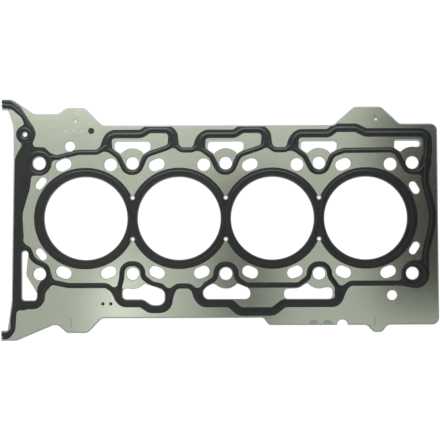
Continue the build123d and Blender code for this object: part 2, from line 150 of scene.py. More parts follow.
class Graph:
    """A material's node tree with short ways to add and join nodes."""

    OCTAVE_WEIGHT = 0.55
    NOISE_LOW = 0.3
    NOISE_HIGH = 0.7

    def __init__(self, name: str) -> None:
        """Start a material that holds a Principled shader.

        Args:
            name: name of the material.
        """
        self.material = bpy.data.materials.new(name)
        self.material.use_nodes = True
        self.tree = self.material.node_tree
        self.shader = self.tree.nodes["Principled BSDF"]
        coordinates = self.tree.nodes.new("ShaderNodeTexCoord")
        self.place = coordinates.outputs["Object"]

    def add(self, kind: str, **values: object) -> Node:
        """Add a node and set its inputs or properties by name.

        Args:
            kind: Blender's name of the node type.
            **values: input values and node properties; an underscore stands for a space.

        Returns:
            The new node.
        """
        node = self.tree.nodes.new(kind)
        for key, value in values.items():
            if hasattr(node, key):
                setattr(node, key, value)
            else:
                node.inputs[key.replace("_", " ")].default_value = value
        return node

    def join(self, start: Socket, end: Socket) -> None:
        """Link an output to an input."""
        self.tree.links.new(start, end)

    def feed(self, **values: Socket | Colour | float) -> None:
        """Give the shader's inputs, by name, a socket or a constant.

        Args:
            **values: what each input takes; an underscore in a name stands for a space.
        """
        for key, value in values.items():
            target = self.shader.inputs[key.replace("_", " ")]
            if isinstance(value, Socket):
                self.join(value, target)
            else:
                target.default_value = value

    def noise(self, kind: Noise) -> Socket:
        """Add one kind of noise.

        Args:
            kind: its stretch, scale and detail.

        Returns:
            The noise, from 0 to 1.
        """
        mapping = self.add("ShaderNodeMapping", Scale=kind.stretch)
        self.join(self.place, mapping.inputs["Vector"])
        texture = self.add(
            "ShaderNodeTexNoise", Scale=kind.scale, Detail=kind.detail, Roughness=self.OCTAVE_WEIGHT
        )
        self.join(mapping.outputs["Vector"], texture.inputs["Vector"])
        return texture.outputs["Fac"]

    def calculate(self, operation: str, first: Socket, second: Socket | float) -> Node:
        """Combine two values.

        Args:
            operation: Blender's name of the operation.
            first: the first value.
            second: the second value, or a constant.

        Returns:
            The math node.
        """
        node = self.add("ShaderNodeMath", operation=operation)
        self.join(first, node.inputs[0])
        if isinstance(second, float):
            node.inputs[1].default_value = second
        else:
            self.join(second, node.inputs[1])
        return node

    def ramp(self, value: Socket, places: Point, colours: list[Colour]) -> Socket:
        """Turn a value into a colour.

        Args:
            value: what is looked up.
            places: three places from 0 to 1, in order.
            colours: the colour at each of them.

        Returns:
            The colour.
        """
        node = self.add("ShaderNodeValToRGB")
        elements = node.color_ramp.elements
        elements.new(places[1])
        for element, place, colour in zip(elements, places, colours):
            element.position = place
            element.color = (*colour, 1.0)
        self.join(value, node.inputs["Fac"])
        return node.outputs["Color"]

    def spread(self, value: Socket, low: float, high: float) -> Socket:
        """Map the middle of a noise's range onto low to high.

        Args:
            value: the noise.
            low: result where the noise is NOISE_LOW.
            high: result where the noise is NOISE_HIGH.

        Returns:
            The mapped value.
        """
        limits = {"From_Min": self.NOISE_LOW, "From_Max": self.NOISE_HIGH, "To_Min": low, "To_Max": high}
        node = self.add("ShaderNodeMapRange", **limits)
        self.join(value, node.inputs["Value"])
        return node.outputs["Result"]

    def bump(self, height: Socket, depth: float, below: Node | None = None) -> Node:
        """Raise and sink the surface's shading.

        Args:
            height: height from 0 to 1.
            depth: what a height of 1 stands for, in metres.
            below: a coarser bump that this one lies on.

        Returns:
            The bump node.
        """
        node = self.add("ShaderNodeBump", Distance=depth, Strength=1.0)
        self.join(height, node.inputs["Height"])
        if below is not None:
            self.join(below.outputs["Normal"], node.inputs["Normal"])
        return node


@dataclass(frozen=True)
class SteelFinish:
    """Cold-rolled sheet steel with faint rolling streaks and a slightly wavy surface."""

    name: str
    colour: Colour
    contrast: float = 0.06
    roughness: Place = (0.20, 0.22)
    waviness: float = 0.00005
    grain: float = 0.0000003
    streak_share: float = 0.45
    stops: Point = (0.32, 0.50, 0.68)

    def shade(self, factor: float) -> Colour:
        """The finish's colour made lighter or darker by a factor."""
        return tuple(min(1.0, part * factor) for part in self.colour)

    def material(self) -> Material:
        """Build the steel's material.

        Returns:
            A material with streaked colour, uneven gloss and two sizes of bump.
        """
        graph = Graph(self.name)
        streaks, waves, grain = graph.noise(STREAKS), graph.noise(WAVES), graph.noise(GRAIN)
        patches = graph.calculate("MULTIPLY", graph.noise(PATCHES), 1 - self.streak_share)
        mixed = graph.calculate("MULTIPLY_ADD", streaks, self.streak_share)
        graph.join(patches.outputs[0], mixed.inputs[2])
        colours = [self.shade(1 - self.contrast), self.colour, self.shade(1 + self.contrast)]
        colour = graph.ramp(mixed.outputs[0], self.stops, colours)
        fine = graph.bump(grain, self.grain, graph.bump(waves, self.waviness))
        graph.feed(Base_Color=colour, Metallic=1.0, Normal=fine.outputs["Normal"])
        graph.feed(Roughness=graph.spread(streaks, *self.roughness))
        return graph.material


@dataclass(frozen=True)
class PrintFinish:
    """Screen-printed black elastomer, semi-matt with the mesh's faint orange peel."""

    name: str
    colour: Colour
    contrast: float = 0.25
    roughness: Place = (0.27, 0.31)
    peel: float = 0.000004
    gloss_index: float = 1.42
    stops: Point = (0.30, 0.50, 0.70)

    def material(self) -> Material:
        """Build the elastomer's material.

        Returns:
            A material with mottled colour, uneven gloss and an orange-peel bump.
        """
        graph = Graph(self.name)
        mottle, peel = graph.noise(MOTTLE), graph.noise(PEEL)
        factors = (1 - self.contrast, 1.0, 1 + self.contrast)
        colours = [tuple(part * factor for part in self.colour) for factor in factors]
        colour = graph.ramp(mottle, self.stops, colours)
        fine = graph.bump(peel, self.peel)
        graph.feed(Base_Color=colour, IOR=self.gloss_index, Normal=fine.outputs["Normal"])
        graph.feed(Roughness=graph.spread(mottle, *self.roughness))
        return graph.material


Finish = SteelFinish | PrintFinish

# The carrier's own bluer steel, set darker so that its rims below the bead sheet's edges carry painted
# shade.
CARRIER_STEEL_AND_SHADE = SteelFinish("carrier_steel_and_shade", (0.30, 0.345, 0.325), roughness=(0.36, 0.44))
SHEET_STEEL = SteelFinish("bead_sheet_steel", (0.44, 0.475, 0.385))
# Near-black finish of the sheets' cut edges: painted shade in the hole walls and along the outlines.
EDGE_SHADE_STEEL = SteelFinish("edge_painted_shade_steel", (0.07, 0.078, 0.072), roughness=(0.45, 0.55))
RING_STEEL = SteelFinish("stopper_ring_steel", (0.13, 0.135, 0.12), roughness=(0.34, 0.38))
SEAL_BLACK = PrintFinish("seal_print_black", (0.0065, 0.0085, 0.0078))
UNDERSIDE_BLACK = PrintFinish("seal_print_underside", SEAL_BLACK.colour, peel=0.000006)


def dress(piece: Object, material: Material) -> None:
    """Give every face of a piece one material.

    Args:
        piece: the object.
        material: its only material.
    """
    piece.data.materials.clear()
    piece.data.materials.append(material)
    for polygon in piece.data.polygons:
        polygon.material_index = 0


# ------------------------------------------------------------------------------------- routes


@dataclass(frozen=True)
class Route:
    """Centre line of a printed track through corners near the head bolts, each rounded by its own radius.

    The sealing line on the track leans to one side by the shift and skips a length at each end.
    """

    corners: list[Corner]
    lean: Side = Side.MIDDLE
    shift: float = 0.0
    width: float = 5.4
    skip: Place = (0.0, 0.0)
    step: float = 7.0
    fill: float = 0.98  # share of a leg that its two roundings may take up
    straight: float = math.radians(1.0)  # a smaller turn isn't rounded

    def points(self) -> list[Vector]:
        """Follow the sealing line.

        Returns:
            Plan points in millimetres along straights and arcs, moved sideways by the shift
            and with the skipped lengths cut off at the two ends.
        """
        line = self.moved(self.middle())
        line = self.shortened(line, self.skip[0])
        return self.shortened(line[::-1], self.skip[1])[::-1]

    def shortened(self, line: list[Vector], length: float) -> list[Vector]:
        """Cut a length off the start of a line.

        Args:
            line: plan points in order.
            length: millimetres to cut off.

        Returns:
            The rest of the line.
        """
        place = 0
        while place < len(line) - 2 and (line[place + 1] - line[place]).length < length:
            length -= (line[place + 1] - line[place]).length
            place += 1
        run = line[place + 1] - line[place]
        return [line[place] + run.normalized() * length] + line[place + 1 :]

    def middle(self) -> list[Vector]:
        """Follow the middle of the printed track.

        Returns:
            Plan points in millimetres along straights and arcs.
        """
        places = [plan(*corner[:4]) for corner in self.corners]
        setbacks = self.setbacks(places)
        line = [places[0]]
        for before, place, after, setback in zip(places, places[1:], places[2:], setbacks[1:]):
            line += self.turn(before, place, after, setback)
        line.append(places[-1])
        return line

    def setbacks(self, places: list[Vector]) -> list[float]:
        """Find how far before and after each corner its rounding reaches.

        Args:
            places: the corners in millimetres.

        Returns:
            One distance for each corner, cut down where two roundings don't fit their leg.
        """
        wanted = [0.0]
        for before, place, after, corner in zip(places, places[1:], places[2:], self.corners[1:]):
            angle = (place - before).angle(after - place, 0.0)
            wanted.append(corner[4] * math.tan(angle / 2))
        wanted.append(0.0)
        shares = [1.0] * len(places)
        for number, (start, end) in enumerate(zip(places, places[1:])):
            needed = wanted[number] + wanted[number + 1]
            share = self.fill * (end - start).length / max(needed, TINY)
            shares[number] = min(shares[number], share)
            shares[number + 1] = min(shares[number + 1], share)
        return [setback * share for setback, share in zip(wanted, shares)]

    def turn(self, before: Vector, place: Vector, after: Vector, setback: float) -> list[Vector]:
        """Round one corner.

        Args:
            before: corner that comes before.
            place: the corner itself.
            after: corner that comes next.
            setback: how far from the corner its arc starts and ends.

        Returns:
            Points on the arc, or the corner alone where it isn't rounded.
        """
        into, out = (place - before).normalized(), (after - place).normalized()
        angle = into.angle(out, 0.0)
        if angle < self.straight or setback <= 0:
            return [place]
        radius = setback / math.tan(angle / 2)
        side = 1.0 if into.cross(out) > 0 else -1.0
        start = place - into * setback
        hub = start + Vector((-into.y, into.x)) * side * radius
        count = max(2, math.ceil(math.degrees(angle) / self.step))
        spoke = start - hub
        arc = []
        for number in range(count + 1):
            turned = side * angle * number / count
            cosine, sine = math.cos(turned), math.sin(turned)
            x, y = spoke.x * cosine - spoke.y * sine, spoke.x * sine + spoke.y * cosine
            arc.append(hub + Vector((x, y)))
        return arc

    def moved(self, line: list[Vector]) -> list[Vector]:
        """Move a line sideways by the route's shift.

        Args:
            line: plan points in order.

        Returns:
            As many points, each moved across the line.
        """
        offset = self.lean.value * self.shift
        moved = []
        for place, point in enumerate(line):
            ahead = line[min(place + 1, len(line) - 1)] - line[max(place - 1, 0)]
            across = Vector((-ahead.y, ahead.x)).normalized()
            moved.append(point + across * offset)
        return moved


def near(column: int, row: int, *corners: Point) -> list[Corner]:
    """Corners near one head bolt, from millimetres right of it, millimetres outward and radius."""
    return [(column, row, *corner) for corner in corners]


def bolt_loop(column: int) -> list[Corner]:
    """Corners of the narrow track that passes under one bolt of the TOP row.

    Args:
        column: the bolt's column.

    Returns:
        The corners, from left to right.
    """
    return near(
        column, TOP, (-26.4, 20.5, 0), (-25.6, 15.0, 6), (-14.6, 6.8, 9), (-6.6, -9.6, 9.0),
        (6.0, -9.6, 9.0), (13.8, 8.2, 10)
    )


def top_routes() -> list[Route]:
    """Printed tracks along the TOP side, with their sealing lines.

    Returns:
        One route for each stretch between two junctions.
    """
    routes = []
    for column in (1, 2):
        loop = bolt_loop(column) + near(column, TOP, (40.2, 17.2, 8.5), (41.4, 28.0, 0))
        routes.append(Route(loop, skip=(6.0, 7.0)))
        arch = near(
            column, TOP, (-26.4, 19.5, 0), (-26.4, 29.9, 9), (9.0, 29.9, 8), (17.0, 35.0, 8),
            (42.3, 35.0, 9), (42.3, 24.5, 0)
        )
        routes.append(Route(arch, Side.RIGHT, 0.7, WIDE))
        link = [
            *near(column, TOP, (42.3, 21.0, 0), (49.5, 13.3, 8)),
            *near(column + 1, TOP, (-33.0, 13.3, 8), (-26.4, 21.0, 0)),
        ]
        routes.append(Route(link, skip=(4.5, 4.5)))
    last_loop = [
        *near(3, TOP, (26.0, 12.5, 12)),
        *near(4, TOP, (-17.4, 13.0, 10), (-5.0, -9.7, 7.5), (8.2, -9.7, 8), (14.0, 0.0, 0)),
    ]
    routes.append(Route(bolt_loop(3) + last_loop, skip=(6.0, 4.0)))
    last_arch = [
        *near(
            3, TOP, (-26.4, 19.5, 0), (-26.4, 30.2, 9), (10.0, 30.2, 8), (17.0, 35.8, 8), (38.0, 35.8, 8)
        ),
        *near(4, TOP, (-48.0, 30.9, 8), (16.0, 30.9, 8), (16.0, 10.0, 12), (13.4, -2.0, 0)),
    ]
    routes.append(Route(last_arch, Side.RIGHT, 0.7, WIDE))
    end_track = [
        *near(4, TOP, (13.9, 0.0, 0), (13.2, -20.0, 14), (20.8, -50.0, 40)),
        *near(4, BOTTOM, (20.4, -50.0, 40), (13.4, -20.0, 14), (13.4, -9.0, 0)),
    ]
    routes.append(Route(end_track, width=END_WIDTH))
    first_link = [
        *near(0, TOP, (10.5, 6.5, 0), (19.0, 5.8, 10), (40.0, 11.2, 20)),
        *near(1, TOP, (-36.0, 11.2, 8), (-26.4, 18.0, 0)),
    ]
    routes.append(Route(first_link))
    return routes


def bottom_routes() -> list[Route]:
    """Printed tracks along the BOTTOM side, with their sealing lines.

    Returns:
        One route for each stretch between two junctions.
    """
    first_link = [
        *near(0, BOTTOM, (4.5, 14.0, 0), (8.5, 7.4, 7), (30.0, 11.9, 20)),
        *near(1, BOTTOM, (-27.0, 11.9, 8), (-14.7, 21.0, 0)),
    ]
    second_loop = near(
        1, BOTTOM, (-14.7, 18.0, 0), (-11.4, 5.0, 8), (-10.4, -10.4, 9.6), (10.4, -10.4, 9.6),
        (10.4, 3.0, 6), (20.0, 10.5, 8), (29.5, 12.4, 6), (36.6, 20.0, 0)
    )
    second_arch = near(
        1, BOTTOM, (-14.7, 21.0, 0), (-14.7, 30.1, 8), (9.0, 30.1, 8), (17.5, 36.1, 8), (36.8, 36.1, 9),
        (36.8, 22.5, 0)
    )
    second_link = [
        *near(1, BOTTOM, (36.8, 22.0, 0)),
        *near(2, BOTTOM, (-51.0, 12.6, 8), (-37.0, 12.6, 8), (-28.2, 22.0, 0)),
    ]
    two_loops = [
        *near(
            2, BOTTOM, (-28.2, 20.0, 0), (-20.5, 11.0, 10), (-10.6, 5.0, 9), (-9.8, -9.8, 9.6),
            (9.8, -9.8, 9.6), (10.6, 4.5, 9), (20.0, 11.9, 9)
        ),
        *near(
            3, BOTTOM, (-21.0, 11.9, 9), (-10.4, 3.5, 9), (-9.8, -9.8, 9.6), (9.8, -9.8, 9.6),
            (10.8, 3.0, 9), (21.0, 17.0, 0)
        ),
    ]
    long_arch = [
        *near(2, BOTTOM, (-28.2, 22.0, 0), (-28.2, 30.2, 8), (4.0, 30.2, 9), (14.0, 39.1, 9)),
        *near(3, BOTTOM, (-47.5, 39.1, 9), (-36.0, 30.3, 9), (21.0, 30.3, 8), (21.0, 20.0, 0)),
    ]
    last_link = [
        *near(3, BOTTOM, (21.0, 21.0, 0), (31.0, 10.2, 9)),
        *near(4, BOTTOM, (-7.5, 10.2, 0)),
    ]
    return [
        Route(first_link),
        Route(second_loop),
        Route(second_arch, Side.RIGHT, 0.9, WIDE),
        Route(second_link),
        Route(two_loops),
        Route(long_arch, Side.RIGHT, 0.6, WIDE),
        Route(last_link),
    ]


def flange_corners() -> list[Corner]:
    """Outline of the broad seal along the timing end, with its two horns.

    Returns:
        The corners, once round.
    """
    return [
        *near(
            0, TOP, (-38.6, 65.6, 0), (-28.5, 65.6, 6), (-19.0, 58.5, 8), (-6.5, 38.5, 8), (-3.6, 30.5, 8),
            (-6.8, 20.5, 4), (-5.0, 17.0, 3), (6.5, 16.4, 6), (13.0, 7.0, 6), (12.5, -5.0, 7),
            (4.0, -12.8, 7), (-8.0, -12.8, 3), (-9.5, -26.0, 20), (-17.4, -52.0, 30)
        ),
        *near(
            0, BOTTOM, (-16.0, -38.0, 14), (-18.1, -24.0, 10), (-18.1, 27.0, 0), (-16.0, 35.8, 0),
            (-21.0, 35.8, 4), (-23.6, 39.0, 4), (-25.0, 58.5, 8), (-31.5, 67.0, 8), (-39.6, 67.2, 0),
            (-39.6, 57.0, 0), (-30.0, 57.0, 0), (-30.0, 20.0, 0)
        ),
        *near(
            0, TOP, (-30.0, -10.0, 0), (-26.8, -2.0, 0), (-23.5, 8.5, 8), (-16.6, 20.5, 4),
            (-24.0, 30.0, 7.5), (-14.5, 39.0, 3), (-18.0, 47.0, 8), (-28.0, 55.4, 6), (-38.6, 55.4, 0)
        ),
    ]


def flange_routes() -> list[Route]:
    """Sealing lines of the broad seal along the timing end.

    Returns:
        The routes, of which the last two have printed tracks of their own.
    """
    outer_horn = near(
        0, TOP, (-38.3, 63.4, 0), (-29.3, 63.4, 6), (-20.4, 56.6, 8), (-8.2, 37.6, 8), (-5.8, 30.5, 8),
        (-8.8, 19.5, 4), (-8.6, 12.5, 0)
    )
    inner_horn = near(
        0, TOP, (-38.3, 59.2, 0), (-27.4, 59.2, 6), (-16.4, 48.6, 8), (-11.6, 39.4, 6), (-9.2, 34.0, 0)
    )
    outer_edge = [
        *near(0, TOP, (-12.6, 23.0, 0), (-14.0, 19.0, 4), (-21.3, 8.2, 8), (-23.4, -4.0, 8)),
        *near(0, BOTTOM, (-25.6, 28.0, 30), (-27.9, 56.0, 5), (-30.8, 62.0, 4), (-39.2, 62.2, 0)),
    ]
    inner_edge = [
        *near(0, TOP, (-9.8, -8.0, 0), (-11.4, -26.0, 20), (-19.4, -52.0, 30)),
        *near(
            0, BOTTOM, (-18.2, -38.0, 14), (-20.6, -24.0, 10), (-20.6, 26.0, 6), (-19.0, 31.6, 3),
            (-10.0, 32.3, 0)
        ),
    ]
    chain_arch = near(0, BOTTOM, (6.6, 9.3, 0), (2.0, 15.5, 8), (0.6, 32.0, 8.5), (-20.5, 31.4, 0))
    chain_loop = near(
        0, BOTTOM, (-18.6, -29.0, 0), (-11.2, -26.2, 4.5), (-6.2, -14.2, 12), (7.6, -7.9, 8),
        (10.4, 3.5, 6), (5.6, 11.0, 0)
    )
    return [
        Route(outer_horn),
        Route(inner_horn),
        Route(outer_edge),
        Route(inner_edge),
        Route(chain_arch, Side.LEFT, 1.2, WIDE),
        Route(chain_loop),
    ]


# -------------------------------------------------------------------------------------- field


class Field:
    """Signed distances in plan over the whole part, in millimetres and negative inside a shape."""

    STEP = 0.5
    LOW = (-233.0, -127.0)
    HIGH = (221.0, 125.0)
    FAR = 60.0
    TRACK_MARGIN = 2.0
    SHORTEST_LOOP = 6
    LONGEST_SIDE = 4.0
    FLATNESS = 0.012

    def __init__(self) -> None:
        """Start with a field that holds no shape."""
        self.xs = np.arange(self.LOW[0], self.HIGH[0], self.STEP)
        self.ys = np.arange(self.LOW[1], self.HIGH[1], self.STEP)
        self.value = np.full((len(self.ys), len(self.xs)), self.FAR)

    def distance(self, pieces: list[Run], reach: float) -> np.ndarray:
        """Distance to straight pieces.

        Args:
            pieces: start and end of each piece.
            reach: how far from a piece its distance is worked out.

        Returns:
            The distance at each grid point, FAR beyond the reach.
        """
        found = np.full_like(self.value, self.FAR)
        for start, end in pieces:
            (west, east), (south, north) = sorted((start.x, end.x)), sorted((start.y, end.y))
            left, right = np.searchsorted(self.xs, (west - reach, east + reach))
            low, high = np.searchsorted(self.ys, (south - reach, north + reach))
            if left == right or low == high:
                continue
            x = self.xs[None, left:right] - start.x
            y = self.ys[low:high, None] - start.y
            run = end - start
            share = np.clip((x * run.x + y * run.y) / max(run.length_squared, TINY), 0.0, 1.0)
            here = np.hypot(x - share * run.x, y - share * run.y)
            window = found[low:high, left:right]
            np.minimum(window, here, out=window)
        return found

    def inside(self, edges: list[Run]) -> np.ndarray:
        """Find the grid points inside closed loops.

        Args:
            edges: start and end of every edge of the loops.

        Returns:
            True at each grid point inside.
        """
        odd = np.zeros(self.value.shape, dtype=bool)
        for start, end in edges:
            if start.y == end.y:
                continue
            lower, upper = (start, end) if start.y < end.y else (end, start)
            first, last = np.searchsorted(self.ys, (lower.y, upper.y))
            for row in range(first, last):
                share = (self.ys[row] - lower.y) / (upper.y - lower.y)
                crossing = lower.x + (upper.x - lower.x) * share
                odd[row, np.searchsorted(self.xs, crossing) :] ^= True
        return odd

    def add(self, shape: np.ndarray, blend: float) -> None:
        """Join a shape's field to this one.

        Args:
            shape: the shape's signed distances.
            blend: size of the fillets where the two meet, in millimetres.
        """
        gap = np.maximum(blend - np.abs(self.value - shape), 0.0) / max(blend, TINY)
        self.value = np.minimum(self.value, shape) - gap * gap * blend / 4

    def add_track(self, line: list[Vector], width: float, blend: float) -> None:
        """Join a track of even width."""
        reach = width / 2 + blend + self.TRACK_MARGIN
        self.add(self.distance(list(zip(line, line[1:])), reach) - width / 2, blend)

    def add_disc(self, centre: Vector, radius: float, blend: float) -> None:
        """Join a round shape."""
        self.add(self.disc(centre, radius), blend)

    def disc(self, centre: Vector, radius: float) -> np.ndarray:
        """Signed distances of a round shape."""
        return np.hypot(self.xs[None, :] - centre.x, self.ys[:, None] - centre.y) - radius

    def loops_shape(self, edges: list[Run], reach: float) -> np.ndarray:
        """Signed distances of the shape inside closed loops, up to a reach from their edges."""
        away = self.distance(edges, reach)
        return np.where(self.inside(edges), -away, away)

    def keep(self, shape: np.ndarray) -> None:
        """Keep only what lies inside a shape."""
        self.value = np.maximum(self.value, shape)

    def contours(self) -> list[Loop]:
        """Trace the shape's outlines.

        Returns:
            Closed loops of plan points in millimetres.
        """
        solid = self.value < 0
        count = solid[:-1, :-1].astype(int) + solid[:-1, 1:] + solid[1:, 1:] + solid[1:, :-1]
        links: dict[GridEdge, list[GridEdge]] = {}
        for row, column in zip(*np.nonzero((count > 0) & (count < 4))):
            for start, end in self.cell(solid, int(row), int(column)):
                links.setdefault(start, []).append(end)
                links.setdefault(end, []).append(start)
        loops = []
        while links:
            first = next(iter(links))
            chain, here = [first], first
            while links.get(here):
                following = links[here].pop()
                links[following].remove(here)
                chain.append(following)
                here = following
            for key in chain:
                if key in links and not links[key]:
                    del links[key]
            loops.append(self.thinned([self.crossing(key) for key in chain[:-1]]))
        return [loop for loop in loops if len(loop) >= self.SHORTEST_LOOP]

    def cell(self, solid: np.ndarray, row: int, column: int) -> list[tuple[GridEdge, GridEdge]]:
        """Outline pieces inside one grid cell.

        Args:
            solid: whether each grid point is inside.
            row: the cell's lower row.
            column: the cell's left column.

        Returns:
            Pairs of grid edges that the outline joins.
        """
        corners = [(row, column), (row, column + 1), (row + 1, column + 1), (row + 1, column)]
        edges = [(0, row, column), (1, row, column + 1), (0, row + 1, column), (1, row, column)]
        crossed = []
        for place in range(4):
            if solid[corners[place]] != solid[corners[(place + 1) % 4]]:
                crossed.append(edges[place])
        if len(crossed) == 4:
            middle = sum(self.value[corner] for corner in corners) < 0
            if middle != solid[corners[0]]:
                crossed = crossed[3:] + crossed[:3]
        return list(zip(crossed[::2], crossed[1::2]))

    def crossing(self, key: GridEdge) -> Place:
        """Where the outline crosses a grid edge.

        Args:
            key: 0 for an edge along X or 1 along Y, its row and its column.

        Returns:
            The plan point in millimetres.
        """
        way, row, column = key
        here = self.value[row, column]
        there = self.value[row + way, column + 1 - way]
        share = float(here / (here - there)) * self.STEP
        return (float(self.xs[column]) + share * (1 - way), float(self.ys[row]) + share * way)

    def thinned(self, loop: Loop) -> Loop:
        """Drop the points that lie on a straight between their neighbours.

        Args:
            loop: closed loop of points.

        Returns:
            The loop with fewer points.
        """
        kept = [loop[0]]
        skipped: Loop = []
        for point, following in zip(loop[1:], loop[2:] + loop[:1]):
            skipped.append(point)
            start, run = Vector(kept[-1]), Vector(following) - Vector(kept[-1])
            off = max(abs((Vector(spot) - start).cross(run)) for spot in skipped)
            if run.length > self.LONGEST_SIDE or off > self.FLATNESS * run.length:
                kept.append(point)
                skipped = []
        return kept


def film_mesh(name: str, loops: list[Loop], bottom: float, top: float) -> Mesh:
    """Fill closed loops into a film of even thickness.

    Args:
        name: name of the mesh.
        loops: outer and inner outlines in millimetres.
        bottom: the film's underside in millimetres.
        top: its upper face in millimetres.

    Returns:
        A closed mesh in metres.
    """
    curve = bpy.data.curves.new(name, "CURVE")
    curve.dimensions = "2D"
    curve.fill_mode = "BOTH"
    curve.extrude = (top - bottom) / 2 * MM
    for loop in loops:
        spline = curve.splines.new("POLY")
        spline.points.add(len(loop) - 1)
        for spot, (x, y) in zip(spline.points, loop):
            spot.co = (x * MM, y * MM, 0.0, 1.0)
        spline.use_cyclic_u = True
    holder = linked(name, curve)
    graph = bpy.context.evaluated_depsgraph_get()
    mesh = bpy.data.meshes.new_from_object(holder.evaluated_get(graph))
    bpy.data.objects.remove(holder)
    bpy.data.curves.remove(curve)
    shape = bmesh.new()
    shape.from_mesh(mesh)
    bmesh.ops.remove_doubles(shape, verts=shape.verts, dist=WELD)
    bmesh.ops.translate(shape, verts=shape.verts, vec=(0.0, 0.0, (top + bottom) / 2 * MM))
    bmesh.ops.recalc_face_normals(shape, faces=shape.faces)
    shape.to_mesh(mesh)
    shape.free()
    mesh.name = name
    return mesh


# ------------------------------------------------------------------------------------- relief


@dataclass(frozen=True)
class Relief:
    """Rounded cross-section of a sealing line that stands on the print."""

    width: float
    height: float
    crown: float = 0.0
    root: float = 0.05
    strips: int = 10

    def section(self) -> Loop:
        """Cross-section over the print.

        Returns:
            (place across, height) pairs in millimetres from one foot to the other.
        """
        half = self.width / 2
        outline = []
        for number in range(self.strips + 1):
            across = -half + self.width * number / self.strips
            share = max(0.0, (abs(across) - self.crown / 2) / (half - self.crown / 2))
            outline.append((across, self.height * math.cos(share * math.pi / 2) ** 2))
        return outline


@dataclass
class ReliefMesh:
    """Collects sealing lines into one mesh of closed strips.

    At a free end the cross-section runs out to shares of its width and height.
    """

    relief: Relief
    vertices: list[Point] = field(default_factory=list)
    faces: list[tuple[int, ...]] = field(default_factory=list)
    end_width: float = 0.35
    end_height: float = 0.02
    end_reach: float = 0.8
    end_steps: tuple[float, ...] = (0.0, 0.5, 0.85, 1.0)
    crease: float = math.radians(50)

    def add(self, line: list[Vector], closed: bool = False) -> None:
        """Add one sealing line.

        Args:
            line: plan points of its middle, in millimetres.
            closed: whether the last point joins the first.
        """
        section = self.relief.section()
        size = len(section) + 2
        first = len(self.vertices)
        rows = self.rows(line, closed)
        for point, across, share in rows:
            foot = PRINT_TOP - self.relief.root
            ring = [(place, PRINT_TOP + height * share) for place, height in section]
            ring += [(section[-1][0], foot), (section[0][0], foot)]
            for place, height in ring:
                narrowed = self.end_width + (1 - self.end_width) * share
                spot = point + across * place * narrowed
                self.vertices.append((spot.x * MM, spot.y * MM, height * MM))
        count = len(rows)
        for number in range(count if closed else count - 1):
            here = first + number * size
            there = first + (number + 1) % count * size
            for place in range(size):
                beside = (place + 1) % size
                self.faces.append((here + place, here + beside, there + beside, there + place))
        if not closed:
            self.faces.append(tuple(first + place for place in reversed(range(size))))
            self.faces.append(tuple(first + (count - 1) * size + place for place in range(size)))

    def rows(self, line: list[Vector], closed: bool) -> list[LineRow]:
        """Find where the cross-section stands.

        Args:
            line: plan points of the middle.
            closed: whether the last point joins the first.

        Returns:
            (point, direction across, share of the full height) for each row.
        """
        count = len(line)
        found = []
        for place, point in enumerate(line):
            before = line[place - 1] if closed or place else point
            after = line[(place + 1) % count] if closed or place < count - 1 else point
            into, out = (point - before), (after - point)
            ahead = into.normalized() + out.normalized()
            across = Vector((-ahead.y, ahead.x)).normalized()
            found.append((point, across, 1.0))
        if closed:
            return found
        return self.eased(found, 0) + found[1:-1] + self.eased(found, -1)

    def eased(self, found: list[LineRow], end: int) -> list[LineRow]:
        """Let a sealing line run out at one end.

        Args:
            found: rows of the whole line.
            end: 0 for its start, -1 for its end.

        Returns:
            The rows that replace the end's own, in the line's order.
        """
        point, across, _ = found[end]
        neighbour = found[1 if end == 0 else -2][0]
        inward = (neighbour - point).normalized()
        reach = min(self.relief.width / 2, self.end_reach * (neighbour - point).length)
        rows = []
        for share in self.end_steps:
            drawn = 1 - math.cos(math.asin(share)) if share < 1 else 1.0
            rows.append((point + inward * reach * drawn, across, max(share, self.end_height)))
        return rows if end == 0 else rows[::-1]

    def piece(self, name: str, slot: Slot, material: Material) -> Object:
        """Make the object.

        Args:
            name: its name.
            slot: not used.
            material: its material.

        Returns:
            The object, riding on the part's body.
        """
        mesh = bpy.data.meshes.new(name)
        mesh.from_pydata(self.vertices, [], self.faces)
        shape = bmesh.new()
        shape.from_mesh(mesh)
        bmesh.ops.recalc_face_normals(shape, faces=shape.faces)
        for edge in shape.edges:
            edge.smooth = len(edge.link_faces) == 2 and edge.calc_face_angle(0.0) < self.crease
        for face in shape.faces:
            face.smooth = True
        shape.to_mesh(mesh)
        shape.free()
        return place_piece(name, mesh, material)


def place_piece(name: str, mesh: Mesh, material: Material) -> Object:
    """Put a mesh into the scene as a piece of the part.

    Args:
        name: its name.
        mesh: its shape, in metres in the part's frame.
        material: its material.

    Returns:
        The object, riding on the part's body.
    """
    piece = linked(name, mesh)
    dress(piece, material)
    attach(piece, BODY)
    LOG.info("%s: %d faces", name, len(mesh.polygons))
    return piece


# ------------------------------------------------------------------------------- sub-assemblies


@dataclass
class Layers:
    """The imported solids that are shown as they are, each with its own finish."""

    seals: tuple[str, ...] = ("lower_passage_seal", "lower_bore_seal")

    def finishes(self) -> dict[str, Finish]:
        """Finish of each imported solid, by node."""
        rings = {f"bore_stopper_ring_{number + 1}": RING_STEEL for number in range(CYLINDERS)}
        return rings | {seal: UNDERSIDE_BLACK for seal in self.seals}

    def dress(self, materials: Materials) -> None:
        """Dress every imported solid.

        Args:
            materials: materials by finish name.
        """
        for node, finish in self.finishes().items():
            dress(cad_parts[node], materials[finish.name])
            LOG.info("%s: %s", node, finish.name)


